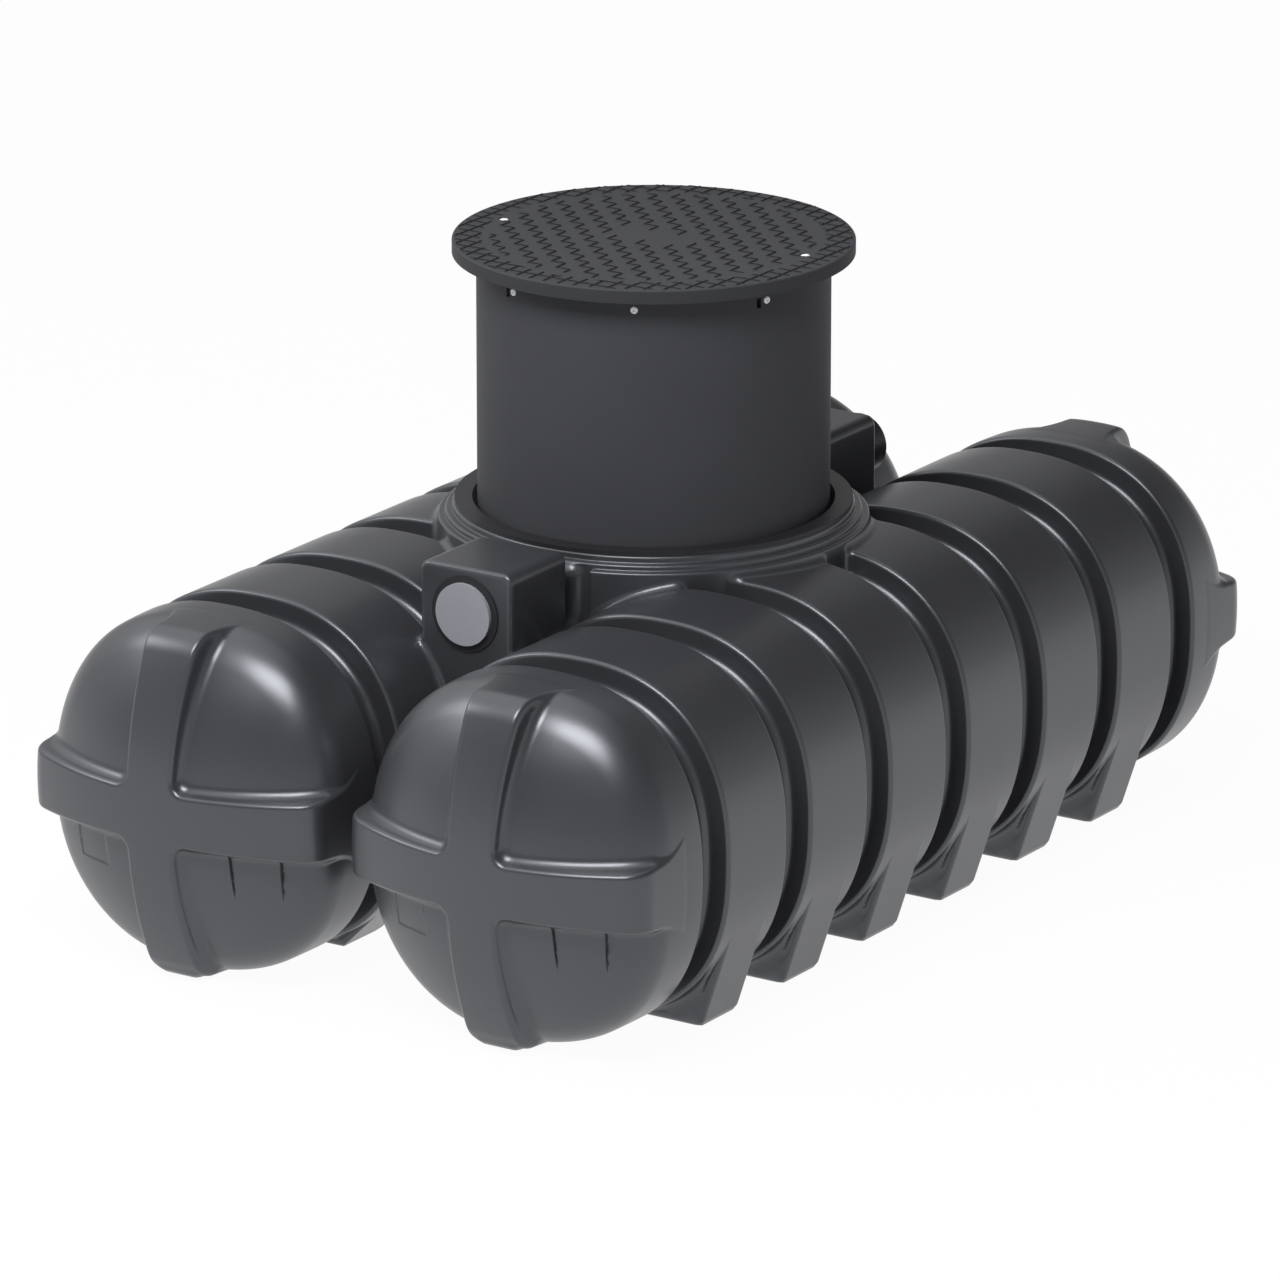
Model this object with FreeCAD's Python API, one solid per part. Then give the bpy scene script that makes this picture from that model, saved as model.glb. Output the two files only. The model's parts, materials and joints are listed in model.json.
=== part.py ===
import FreeCAD, Part
import math
import os

# Flat underground tank: two ribbed barrels side by side, a round neck between them, a telescopic
# shaft standing in the neck and a walk-over cover. X across, Y along the barrels, Z up, millimetres.
# The origin lies on the floor under the shaft's axis.

# Barrels
barrel_spacing = 655.0
barrel_half_width = 300.0
barrel_half_height = 310.0
barrel_axis_height = 314.0
barrel_side_radius = 550.0
barrel_crown_radius = 540.0
barrel_corner_radius = 249.0
wall = 8.0

# Bands and grooves round the barrels
band_count = 6
band_pitch = 255.0
band_width = 183.0
groove_depth = 26.0
band_edge_radius = 10.0
groove_floor_radius = 10.0

# Domed ends: four rounded panels between the arms of a raised cross
panel_depth = 240.0
panel_crown_radius = 480.0
panel_edge_radius = 95.0
panel_side_taper = 24.0
panel_crown_taper = 15.0
panel_sag = 10.0
cross_depth = 260.0
cross_crown_radius = 620.0
cross_edge_radius = 58.0
cross_taper = 6.0
arm_half_width = 43.0
arm_flare = 26.0
arm_edge_radius = 8.0
arm_corner_radius = 24.0
rim_length = 16.0
toe_inner_setback = 60.0
toe_outer_setback = 176.0
toe_height = 70.0
toe_edge_radius = 20.0

# Slits and a shallow field under the cross of each end
slit_reaches = (143.0, 227.0)
slit_tip_reaches = (140.0, 217.0)
slit_width = 9.0
slit_length = 96.0
slit_depth = 6.0
field_reach = 151.0
field_width = 72.0
field_height = 76.0
field_depth = 3.0

# Feet beside the bottom of every band
outer_foot_reach = 222.0
inner_foot_reach = 118.0
foot_sole_start = 50.0
foot_length = 116.0
foot_corner_radius = 16.0
foot_end_radius = 20.0

# Neck between the barrels
neck_radius = 377.0
neck_edge_radius = 3.0
shoulder_gap_half_width = 101.0
neck_shoulder_height = 642.0
collar_radius = 364.0
collar_step_height = 652.0
rim_radius = 351.0
rim_height = 664.0
rim_bore_gap = 12.0
rim_thickness = 12.0
neck_foot_height = 440.0

# Seal lying on the neck's rim
seal_height = 7.0
seal_lip_drop = 14.0
seal_lip_thickness = 6.0
seal_clearance = 0.3

# Web that closes the valley between the barrels at mid height
web_thickness = 10.0
web_half_width = 64.0

# Pipe boxes in front of and behind the neck
box_half_width = 94.0
box_reach = 583.0
box_length = 170.0
box_height = 687.0
box_edge_radius = 8.0
box_side_radius = 18.0
bridge_half_width = 72.0
bridge_height = 636.0

# Pipe connections
pipe_radius = 55.0
pipe_wall = 3.2
pipe_seal_thickness = 12.0
pipe_seal_length = 18.0
pipe_seal_proud = 3.0
inlet_height = 606.0
outlet_height = 597.0
plug_proud = 10.0
plug_depth = 22.0
plug_wall = 4.0
stub_reach = 98.0
stub_tail = 30.0
stub_shoulder = 1.0

# Telescopic shaft
shaft_radius = 308.0
shaft_wall = 8.0
shaft_foot_height = 540.0
shaft_top_height = 1126.0
slot_count = 4
slot_width = 9.0
slot_length = 17.0
slot_top_setback = 31.0
slot_first_angle = -111.0

# Frame inside the shaft's top, carrying the cover
frame_depth = 30.0
frame_width = 26.0
frame_wall = 5.0

# Cover
cover_radius = 350.0
cover_plate = 12.0
cover_skirt_depth = 26.0
cover_skirt_wall = 8.0
cover_edge_radius = 3.0
cover_seat_gap = 0.3
spigot_gap = 6.0
spigot_wall = 5.0
lift_slot_length = 20.0
lift_slot_width = 9.0
lift_slot_radius = 303.0
cover_rib_count = 8
cover_rib_wall = 5.0

UP = FreeCAD.Vector(0, 0, 1)
ALONG = FreeCAD.Vector(0, 1, 0)
ACROSS = FreeCAD.Vector(1, 0, 0)
ORIGIN = FreeCAD.Vector(0, 0, 0)

barrel_x = barrel_spacing / 2
groove_width = band_pitch - band_width
rim_y = (band_count * band_pitch + groove_width) / 2
neck_bore = collar_radius - wall
rim_bore = shaft_radius + rim_bore_gap
web_top = barrel_axis_height


def corner_centre(side_inset=0.0, crown_inset=0.0):
    """Middle of the arc between the barrel's right side and its crown, from the barrel's axis."""
    side_x = barrel_half_width - barrel_side_radius
    crown_z = barrel_half_height - barrel_crown_radius
    corner_radius = barrel_corner_radius - (side_inset + crown_inset) / 2
    from_side = barrel_side_radius - side_inset - corner_radius
    from_crown = barrel_crown_radius - crown_inset - corner_radius
    span = math.hypot(side_x, crown_z)
    along = (from_side ** 2 - from_crown ** 2 + span ** 2) / (2 * span)
    off = math.sqrt(from_side ** 2 - along ** 2)
    return (side_x + (along * -side_x - off * crown_z) / span, (along * crown_z - off * side_x) / span)


def oval(y, side_inset, crown_inset, drop=0.0):
    """Closed oval of eight tangent arcs across the right barrel at y, drawn inwards by insets."""
    corner_x, corner_z = corner_centre(side_inset, crown_inset)
    side_x = barrel_half_width - barrel_side_radius
    crown_z = barrel_half_height - barrel_crown_radius
    side_radius = barrel_side_radius - side_inset
    crown_radius = barrel_crown_radius - crown_inset
    corner_radius = barrel_corner_radius - (side_inset + crown_inset) / 2
    side_turn = math.atan2(corner_z, corner_x - side_x)
    crown_turn = math.atan2(corner_z - crown_z, corner_x)
    half = math.pi
    arcs = [
        (side_x, 0, side_radius, -side_turn, side_turn),
        (corner_x, corner_z, corner_radius, side_turn, crown_turn),
        (0, crown_z, crown_radius, crown_turn, half - crown_turn),
        (-corner_x, corner_z, corner_radius, half - crown_turn, half - side_turn),
        (-side_x, 0, side_radius, half - side_turn, half + side_turn),
        (-corner_x, -corner_z, corner_radius, half + side_turn, half + crown_turn),
        (0, -crown_z, crown_radius, half + crown_turn, 2 * half - crown_turn),
        (corner_x, -corner_z, corner_radius, 2 * half - crown_turn, 2 * half - side_turn),
    ]
    edges = []
    for x, z, radius, turn_from, turn_to in arcs:
        points = []
        for turn in (turn_from, (turn_from + turn_to) / 2, turn_to):
            points.append(FreeCAD.Vector(barrel_x + x + radius * math.cos(turn), y,
                                         barrel_axis_height - drop + z + radius * math.sin(turn)))
        edges.append(Part.Arc(*points).toShape())
    return Part.Wire(edges)


def oval_slab(inset, y_from, y_to):
    """Straight length of the barrel's oval."""
    return Part.Face(oval(y_from, inset, inset)).extrude(ALONG * (y_to - y_from))


def ring_edges(shape, y):
    """Edges of a shape that lie in the plane across the barrel at y."""
    return [e for e in shape.Edges if e.BoundBox.YLength < 1e-6 and abs(e.BoundBox.YMin - y) < 1e-6]


def centred_box(half_x, y_from, y_to, z_from, z_to, x=0.0):
    """Box that is symmetric about a plane along the barrels."""
    corner = FreeCAD.Vector(x - half_x, y_from, z_from)
    return Part.makeBox(2 * half_x, y_to - y_from, z_to - z_from, corner)


def revolved(profile):
    """Ring from a closed profile of radius and height pairs, turned about the shaft's axis."""
    points = [FreeCAD.Vector(r, 0, z) for r, z in profile]
    return Part.Face(Part.makePolygon(points + points[:1])).revolve(ORIGIN, UP, 360)


def across(shape):
    """Copy on the other barrel."""
    return shape.mirror(ORIGIN, ACROSS)


def behind(shape):
    """Copy at the other end of the tank."""
    return shape.mirror(ORIGIN, ALONG)


def band_centres():
    return [(i - (band_count - 1) / 2) * band_pitch for i in range(band_count)]


def ribbed(inset):
    """Right barrel with its bands, filled, drawn inwards by an inset."""
    body = oval_slab(groove_depth + inset, -rim_y, rim_y)
    half = band_width / 2 - inset
    bands = []
    for y in band_centres():
        band = oval_slab(inset, y - half, y + half)
        if not inset:
            band = band.makeFillet(band_edge_radius, ring_edges(band, y - half) + ring_edges(band, y + half))
        bands.append(band)
    body = body.fuse(bands)
    if inset:
        return body
    floors = [e for y in band_centres() for e in ring_edges(body, y - half) + ring_edges(body, y + half)]
    return body.makeFillet(groove_floor_radius, floors)


def crowned(inset, side_taper, crown_taper, sag, depth, crown_radius, edge_radius):
    """Blunt domed end: an oval that tapers and sags, a spherical front and a large rounding between them."""
    start = rim_y + rim_length
    back = oval(start, inset, inset)
    slab = Part.makeLoft([back, oval(rim_y + depth, inset + side_taper, inset + crown_taper, sag)], True, True)
    centre = FreeCAD.Vector(barrel_x, rim_y + depth - crown_radius, barrel_axis_height - sag)
    blunt = slab.common(Part.makeSphere(crown_radius - inset, centre))
    front = [e for e in blunt.Edges if e.BoundBox.YMin > start + edge_radius / 2 and e.BoundBox.XLength > 1]
    return blunt.makeFillet(edge_radius - inset, front)


def cross_arms():
    """Two slabs crossing on the barrel's axis, wider at the rim than at the front."""
    near = rim_y
    far = rim_y + cross_depth + arm_half_width
    slabs = []
    for direction in (ACROSS, UP):
        upright = direction is ACROSS
        length = 2 * (barrel_half_height if upright else barrel_half_width)
        side = UP if upright else ACROSS
        foot_half_width = arm_half_width + arm_flare
        outline = [
            direction * -foot_half_width + ALONG * near,
            direction * foot_half_width + ALONG * near,
            direction * arm_half_width + ALONG * far,
            direction * -arm_half_width + ALONG * far,
        ]
        shift = FreeCAD.Vector(barrel_x, 0, barrel_axis_height) - side * (length / 2 + wall)
        points = [p + shift for p in outline]
        face = Part.Face(Part.makePolygon(points + points[:1]))
        slabs.append(face.extrude(side * (length + 2 * wall)))
    cross = slabs[0].fuse(slabs[1])
    nook = arm_half_width + arm_flare
    inner = [e for e in cross.Edges if e.BoundBox.YLength > cross_depth / 2
             and abs(e.BoundBox.Center.x - barrel_x) < nook
             and abs(e.BoundBox.Center.z - barrel_axis_height) < nook]
    return cross.makeFillet(arm_corner_radius, inner)


def rounded_arms():
    """Cross cut out of its own domed form, with its front edges rounded."""
    form = crowned(0, cross_taper, cross_taper, 0, cross_depth, cross_crown_radius, cross_edge_radius)
    arms = form.common(cross_arms())
    start = rim_y + rim_length
    walls = [f for f in arms.Faces if f.Surface.TypeId in ("Part::GeomPlane", "Part::GeomCylinder")
             and f.BoundBox.YMax > start + 1]
    wall_edges = [e for f in walls for e in f.Edges]
    skin = [f for f in arms.Faces if f.BoundBox.YMax > start + 1 and not any(f.isSame(w) for w in walls)]
    front = [e for f in skin for e in f.Edges if any(e.isSame(w) for w in wall_edges)]
    return arms.makeFillet(arm_edge_radius, front)


def slit(reach, tip_reach):
    """Narrow wedge under the cross that runs to a point downwards, through the whole end."""
    top = barrel_axis_height - arm_half_width
    middle = barrel_x + reach
    points = [
        FreeCAD.Vector(middle - slit_width / 2, rim_y, top),
        FreeCAD.Vector(middle + slit_width / 2, rim_y, top),
        FreeCAD.Vector(barrel_x + tip_reach, rim_y, top - slit_length),
    ]
    return Part.Face(Part.makePolygon(points + points[:1])).extrude(ALONG * cross_depth)


def dome():
    """Rear end of the right barrel as a shell: rim, four panels, cross and toe."""
    rim = oval_slab(0, rim_y, rim_y + rim_length)
    rim = rim.makeFillet(band_edge_radius, ring_edges(rim, rim_y))
    panel_form = (panel_side_taper, panel_crown_taper, panel_sag, panel_depth, panel_crown_radius, panel_edge_radius)
    slits = [slit(*reaches).cut(crowned(slit_depth, *panel_form)) for reaches in zip(slit_reaches, slit_tip_reaches)]
    field_top = barrel_axis_height - arm_half_width
    field = centred_box(field_width / 2, rim_y, rim_y + cross_depth, field_top - field_height, field_top,
                        barrel_x - field_reach)
    panels = crowned(0, *panel_form).cut(slits + [field.cut(crowned(field_depth, *panel_form))])
    toe_floor = barrel_axis_height - barrel_half_height
    toe_front = rim_y + toe_outer_setback
    toe = centred_box(arm_half_width, rim_y + toe_inner_setback, toe_front, toe_floor, toe_height, barrel_x)
    toe_rounded = [e for e in toe.Edges if e.BoundBox.YMin > toe_front - 1e-6 and e.BoundBox.ZMin < toe_height - 1e-6]
    toe = toe.makeFillet(toe_edge_radius, toe_rounded)
    solid = rim.fuse([panels, rounded_arms(), toe])
    mouth = oval_slab(groove_depth + wall, rim_y, rim_y + wall)
    throat = oval_slab(wall, rim_y + wall, rim_y + rim_length)
    return solid.cut([mouth, throat, crowned(wall, *panel_form)]).removeSplitter()


def foot_tangent(sole_reach):
    """Where a line from the outer edge of a foot's sole touches the band, from the barrel's axis."""
    corner_x, corner_z = corner_centre()
    dx = corner_x - sole_reach
    dz = barrel_axis_height - corner_z
    span = math.hypot(dx, dz)
    turn = math.atan2(dz, dx) - math.asin(barrel_corner_radius / span)
    length = math.sqrt(span ** 2 - barrel_corner_radius ** 2)
    return (sole_reach + length * math.cos(turn), length * math.sin(turn))


def foot(y, side, sole_reach):
    """Foot under one flank of the right barrel's band at y; side is 1 outside and -1 inside."""
    start = y - foot_length / 2
    top_reach, top_height = foot_tangent(sole_reach)
    outline = [
        (foot_sole_start, 0),
        (sole_reach, 0),
        (top_reach, top_height),
        (foot_sole_start, top_height),
    ]
    points = [FreeCAD.Vector(barrel_x + side * reach, start, z) for reach, z in outline]
    block = Part.Face(Part.makePolygon(points + points[:1])).extrude(ALONG * foot_length)
    ends = [e for e in block.Edges if e.BoundBox.ZMax < 1e-6 and e.BoundBox.XLength > 1]
    block = block.makeFillet(foot_end_radius, ends)
    lean = (top_reach - sole_reach) / top_height
    flank = [e for e in block.Edges if e.BoundBox.ZMin < top_height - 1e-6
             and all(abs(side * (v.X - barrel_x) - sole_reach - lean * v.Z) < 1e-6 for v in e.Vertexes)]
    return block.makeFillet(foot_corner_radius, flank)


right_solid = ribbed(0)
left_solid = across(right_solid)
both_solid = [right_solid, left_solid]

neck_steps = [
    (neck_radius, neck_foot_height),
    (neck_radius, neck_shoulder_height),
    (collar_radius, neck_shoulder_height),
    (collar_radius, collar_step_height),
    (rim_radius, collar_step_height),
    (rim_radius, rim_height),
]
neck_hole = Part.makeCylinder(neck_bore, rim_height, FreeCAD.Vector(0, 0, web_top), UP)
parts = {}

shell = right_solid.cut(ribbed(wall)).cut(neck_hole)
end_plugs = oval_slab(groove_depth + wall, -rim_y, -rim_y + wall)
shell = shell.cut([end_plugs, behind(end_plugs)])
parts["right_barrel"] = shell
parts["left_barrel"] = across(shell)

end = dome()
parts["right_front_dome"] = behind(end)
parts["left_front_dome"] = behind(end).translated(ACROSS * -barrel_spacing)
for name in ("right", "left"):
    other = "left" if name == "right" else "right"
    parts["%s_rear_dome" % name] = parts["%s_front_dome" % other].rotated(ORIGIN, UP, 180)

for name, side, reach in (("outer", 1, outer_foot_reach), ("inner", -1, inner_foot_reach)):
    row = Part.makeCompound([foot(y, side, reach).cut(right_solid) for y in band_centres()])
    parts["right_%s_feet" % name] = row
    parts["left_%s_feet" % name] = across(row)

collar = revolved([(neck_bore, neck_foot_height)] + neck_steps + [
    (rim_bore, rim_height),
    (rim_bore, rim_height - rim_thickness),
    (rim_radius - wall, rim_height - rim_thickness),
    (rim_radius - wall, collar_step_height - wall),
    (neck_bore, collar_step_height - wall),
])
step_circles = [e for e in collar.Edges if e.BoundBox.ZLength < 1e-6 and e.BoundBox.ZMin > neck_foot_height + 1e-6
                and e.BoundBox.XMax > rim_radius - 1e-6]
collar = collar.makeFillet(neck_edge_radius, step_circles)
shoulder_gap = centred_box(shoulder_gap_half_width, -box_reach, box_reach, neck_foot_height, neck_shoulder_height)
shoulder_gap = shoulder_gap.cut(Part.makeCylinder(collar_radius, box_height))
passage_top = bridge_height - wall
passage = centred_box(bridge_half_width - wall, -box_reach, box_reach, neck_foot_height, passage_top)
parts["neck_collar"] = collar.cut(both_solid + [shoulder_gap, passage])

lip_radius = shaft_radius + seal_clearance
seal_outer_radius = rim_radius - neck_edge_radius
parts["collar_seal"] = revolved([
    (rim_bore, rim_height),
    (seal_outer_radius, rim_height),
    (seal_outer_radius, rim_height + seal_height),
    (rim_bore - seal_lip_thickness / 2, rim_height + seal_height),
    (lip_radius, rim_height - seal_lip_drop + seal_lip_thickness),
    (lip_radius, rim_height - seal_lip_drop),
])

web = centred_box(web_half_width, -box_reach, box_reach, web_top - web_thickness, web_top)
parts["valley_web"] = web.cut(both_solid)

box_back = box_length - box_reach
box_outer = centred_box(box_half_width, -box_reach, box_back, web_top, box_height)
top_sides = [e for e in box_outer.Edges if e.BoundBox.YLength > 1 and e.BoundBox.ZMin > web_top + 1e-6]
box_outer = box_outer.makeFillet(box_side_radius, top_sides)
box_ends = [e for y in (-box_reach, box_back) for e in ring_edges(box_outer, y) if e.BoundBox.ZMax > web_top + 1e-6]
box_outer = box_outer.makeFillet(box_edge_radius, box_ends)
box_inner = centred_box(box_half_width - wall, wall - box_reach, box_back - wall, web_top, box_height - wall)
bridge = centred_box(bridge_half_width, box_back - wall, 0, web_top, bridge_height)
bridge_inner = centred_box(bridge_half_width - wall, box_back - wall, 0, web_top, passage_top)
neck_bar = Part.makeCylinder(collar_radius, box_height)
box = box_outer.fuse(bridge).cut([box_inner, bridge_inner, neck_bar] + both_solid)
seal_radius = pipe_radius + pipe_seal_thickness


def pipe_bar(radius, y_from, y_to, z):
    """Round bar along the barrels on the tank's middle plane."""
    return Part.makeCylinder(radius, y_to - y_from, FreeCAD.Vector(0, y_from, z), ALONG)


def pipe_ring(outer, inner, y_from, y_to, z):
    """Round sleeve along the barrels on the tank's middle plane."""
    return pipe_bar(outer, y_from, y_to, z).cut(pipe_bar(inner, y_from, y_to, z))


front = -box_reach
parts["inlet_box"] = box.cut(pipe_bar(seal_radius, front - wall, front + 2 * wall, inlet_height))
parts["outlet_box"] = behind(box).cut(pipe_bar(seal_radius, -front - 2 * wall, -front + wall, outlet_height))

seal_from = front - pipe_seal_proud
parts["inlet_seal"] = pipe_ring(seal_radius, pipe_radius, seal_from, seal_from + pipe_seal_length, inlet_height)
tail_radius = pipe_radius - stub_shoulder
parts["outlet_seal"] = pipe_ring(seal_radius, tail_radius, -seal_from - pipe_seal_length, -seal_from, outlet_height)

plug = pipe_bar(pipe_radius, front - plug_proud, front - plug_proud + plug_depth, inlet_height)
plug_hollow = pipe_bar(pipe_radius - plug_wall, front - plug_proud + plug_wall, front + plug_depth, inlet_height)
parts["inlet_plug"] = plug.cut(plug_hollow)
stub_from = box_reach - wall - stub_tail
stub = pipe_bar(tail_radius, stub_from, -seal_from, outlet_height)
stub = stub.fuse(pipe_bar(pipe_radius, -seal_from, box_reach + stub_reach, outlet_height))
stub_bore = pipe_bar(pipe_radius - pipe_wall, stub_from, box_reach + stub_reach, outlet_height)
parts["outlet_stub"] = stub.cut(stub_bore)

shaft_bore = shaft_radius - shaft_wall
tube = revolved([
    (shaft_bore, shaft_foot_height),
    (shaft_radius, shaft_foot_height),
    (shaft_radius, shaft_top_height),
    (shaft_bore, shaft_top_height),
])
slot_z = shaft_top_height - slot_top_setback - slot_length
for i in range(slot_count):
    slot = Part.makeBox(4 * shaft_wall, slot_width, slot_length,
                        FreeCAD.Vector(shaft_bore - shaft_wall, -slot_width / 2, slot_z))
    tube = tube.cut(slot.rotate(ORIGIN, UP, slot_first_angle + i * 360 / slot_count))
parts["shaft_tube"] = tube

frame_bore = shaft_bore - frame_width
parts["cover_frame"] = revolved([
    (shaft_bore, shaft_top_height - frame_depth),
    (shaft_bore, shaft_top_height),
    (frame_bore, shaft_top_height),
    (frame_bore, shaft_top_height - frame_wall),
    (shaft_bore - frame_wall, shaft_top_height - frame_wall),
    (shaft_bore - frame_wall, shaft_top_height - frame_depth),
])

plate_z = shaft_top_height + cover_seat_gap
cover_top = plate_z + cover_plate
spigot_radius = frame_bore - spigot_gap
cover = Part.makeCylinder(cover_radius, cover_skirt_depth, FreeCAD.Vector(0, 0, cover_top - cover_skirt_depth), UP)
cover = cover.makeFillet(cover_edge_radius, [e for e in cover.Edges if e.BoundBox.ZMin > cover_top - 1e-6])
under = revolved([
    (spigot_radius, cover_top - cover_skirt_depth),
    (cover_radius - cover_skirt_wall, cover_top - cover_skirt_depth),
    (cover_radius - cover_skirt_wall, plate_z),
    (spigot_radius, plate_z),
])
well = Part.makeCylinder(spigot_radius - spigot_wall, cover_skirt_depth - cover_plate,
                         FreeCAD.Vector(0, 0, cover_top - cover_skirt_depth), UP)
ribs = []
for i in range(cover_rib_count):
    rib = Part.makeBox(spigot_radius, cover_rib_wall, cover_skirt_depth - cover_plate,
                       FreeCAD.Vector(0, -cover_rib_wall / 2, cover_top - cover_skirt_depth))
    ribs.append(rib.rotate(ORIGIN, UP, i * 360 / cover_rib_count))
cover = cover.cut([under, well.cut(ribs)])
for turn in (-90, 90):
    slot = Part.makeBox(lift_slot_width, lift_slot_length, cover_plate,
                        FreeCAD.Vector(lift_slot_radius - lift_slot_width / 2, -lift_slot_length / 2,
                                       cover_top - cover_plate / 2))
    cover = cover.cut(slot.rotate(ORIGIN, UP, turn))
parts["cover"] = cover

os.makedirs("parts", exist_ok=True)
for name, shape in parts.items():
    shape.exportStep("parts/%s.step" % name)
    print("%s volume %.0f valid %s solids %d" % (name, shape.Volume, shape.isValid(), len(shape.Solids)))
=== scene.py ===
import json
import math

import bpy
import numpy as np
from mathutils import Matrix, Vector


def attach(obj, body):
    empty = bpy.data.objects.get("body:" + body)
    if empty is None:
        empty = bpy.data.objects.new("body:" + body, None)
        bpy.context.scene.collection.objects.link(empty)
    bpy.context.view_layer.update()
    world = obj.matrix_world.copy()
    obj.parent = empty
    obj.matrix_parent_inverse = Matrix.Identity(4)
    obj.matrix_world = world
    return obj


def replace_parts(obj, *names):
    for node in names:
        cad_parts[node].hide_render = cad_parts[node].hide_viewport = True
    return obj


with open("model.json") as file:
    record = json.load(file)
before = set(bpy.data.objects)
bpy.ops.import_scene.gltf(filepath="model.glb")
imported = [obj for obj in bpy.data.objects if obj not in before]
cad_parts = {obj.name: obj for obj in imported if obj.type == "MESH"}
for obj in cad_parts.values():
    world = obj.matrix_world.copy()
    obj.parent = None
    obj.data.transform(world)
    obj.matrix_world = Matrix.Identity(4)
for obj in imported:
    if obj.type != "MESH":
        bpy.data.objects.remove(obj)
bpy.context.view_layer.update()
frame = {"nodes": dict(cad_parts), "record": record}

NODES = frame["nodes"]
SCENE = bpy.context.scene

# Camera at the photograph's viewing angle
CAMERA_PLACE = (8.7677, -13.3805, 5.4909)
CAMERA_RIGHT = (0.8356, 0.5493, 0.0)
CAMERA_UP = (-0.16648, 0.25323, 0.95298)
CAMERA_AHEAD = (-0.52350, 0.79631, -0.30304)
CAMERA_LENS = 269.2
CAMERA_SENSOR = 36.0

# Light: a studio that is brighter at the horizon, a glow from the upper left and two softboxes
HORIZON_LEVEL = 0.55
CEILING_LEVEL = 0.07
CEILING_START = 0.55
GLOW_AIM = (-0.507, 0.0, 0.862)
GLOW_LEVEL = 1.15
GLOW_START = 0.5
SOFTBOXES = (
    ("overhead_front", (0.8, -2.9, 4.0), (0.1, -0.3, 0.4), (2.2, 1.6), 150.0),
    ("left_front", (-3.2, -2.2, 3.2), (0, -0.2, 0.4), (1.8, 1.4), 40.0),
)
FLOOR_SIZE = 60.0
FLOOR_DROP = 0.0005
FLOOR_SHADE = 0.04
FLOOR_COLOUR = (0.86, 0.86, 0.86, 1)

# Plastic in metres, and the painted shade on the cover: how much of its colour is left at each height
CLOUD_SCALE = 5.0
GRAIN_SCALE = 420.0
SWELL_SCALE = 16.0
NOISE_SPAN = (0.3, 0.7)
ROUGHNESS_SPREAD = 0.03
GRAIN_HEIGHT = 0.00015
SWELL_HEIGHT = 0.0010
GLOSS_TINT = (0.90, 0.93, 1.0, 1.0)
# Painted shade: the skirt darker, the plate as it is, the tread's raised lines darkest
COVER_PAINTED_SHADE = ((1.1123, 0.70), (1.1335, 0.70), (1.1350, 1.0), (1.1368, 1.0),
                (1.1376, 0.25), (1.1383, 0.25))

# Moulding in millimetres
AXIS_X = 327.5
AXIS_Z = 314.0
HALF_WIDTH = 300.0
HALF_HEIGHT = 310.0
OVAL_POWER = 2.37
BAND_PITCH = 255.0
BAND_WIDTH = 183.0
BAND_COUNT = 6
GROOVE_DEPTH = 46.0
BAND_EDGE = 8.0
GROOVE_EDGE = 16.0
RIM_Y = 801.0
WEB_TOP = 319.0
ARC = np.radians(np.arange(0, 91, 15))

# Domed ends in millimetres
PANEL_FORM = {"start": 12.0, "depth": 240.0, "ball": 480.0, "edge": 95.0,
              "side_taper": 26.0, "crown_taper": 14.0, "sag": 11.0}
CROSS_FORM = {"start": 16.0, "depth": 260.0, "ball": 620.0, "edge": 58.0,
              "side_taper": 6.0, "crown_taper": 6.0, "sag": 0.0}
ARM_HALF = 43.0
ARM_FLARE = 26.0
ARM_FLARE_LENGTH = 303.0
ARM_HOOK_START = 125.0
ARM_HOOK = 0.005
ARM_EDGE = 8.0
ARM_FOOT = 15.0
ARM_CORNER = 24.0
ARM_SINK = 3.2
ARM_SINK_START = 44.0
TOE_FRONT = 176.0
TOE_EDGE = 16.0
TOE_FOOT = 14.0
SLITS = ((143.0, 140.0), (227.0, 217.0))
SLIT_HALF = 4.5
SLIT_LENGTH = 96.0
SLIT_DEPTH = 6.0
SLIT_SOFT = 1.6
FIELD = (-187.0, -115.0)
FIELD_HEIGHT = 76.0
FIELD_DEPTH = 2.0
FIELD_SOFT = 4.0
TAPER_POWER = 2.0
RAY_START = 40.0
RAY_REACH = 460.0
HALVINGS = 40
LEAST_SPREAD = 0.02
LEAST_FILLET = 0.01
EDGE_V = 10.0
RIM_LAP = 0.3

# Grid lines on the ends: across an arm, along it, and closer together beside slits and fields
ARM_LINES = np.array([0, 12, 23, 29, 32, 34, 36, 38, 40, 42, 44, 46, 48, 50, 52, 54, 56, 58.5,
                      61, 64, 68, 74, 82.0])
ARM_SWEEP = (0.2, math.pi / 2 + 0.12)
SWEEP_COUNT = 700
MARK_COUNT = 58
MARK_GAP = 0.9
RIGHT_MARKS = ((146, 168, 1.5), (222, 268, 1.6))
LEFT_MARKS = ((118, 134, 2.0), (200, 226, 2.0))
BOTTOM_MARKS = ((118, 140, 2.0),)


def add_camera():
    """Camera at the photograph's place and angle."""
    camera = bpy.data.cameras.new("camera")
    camera.lens = CAMERA_LENS
    camera.sensor_width = CAMERA_SENSOR
    camera.sensor_fit = "HORIZONTAL"
    camera.clip_end = 100.0
    eye = bpy.data.objects.new("camera", camera)
    back = [-c for c in CAMERA_AHEAD]
    place = Matrix((CAMERA_RIGHT, CAMERA_UP, back)).transposed().to_4x4()
    place.translation = CAMERA_PLACE
    eye.matrix_world = place
    SCENE.collection.objects.link(eye)
    SCENE.camera = eye


def new_material(name):
    """Empty node material, its nodes and its links."""
    material = bpy.data.materials.new(name)
    material.use_nodes = True
    material.node_tree.nodes.clear()
    return material, material.node_tree.nodes, material.node_tree.links


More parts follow.
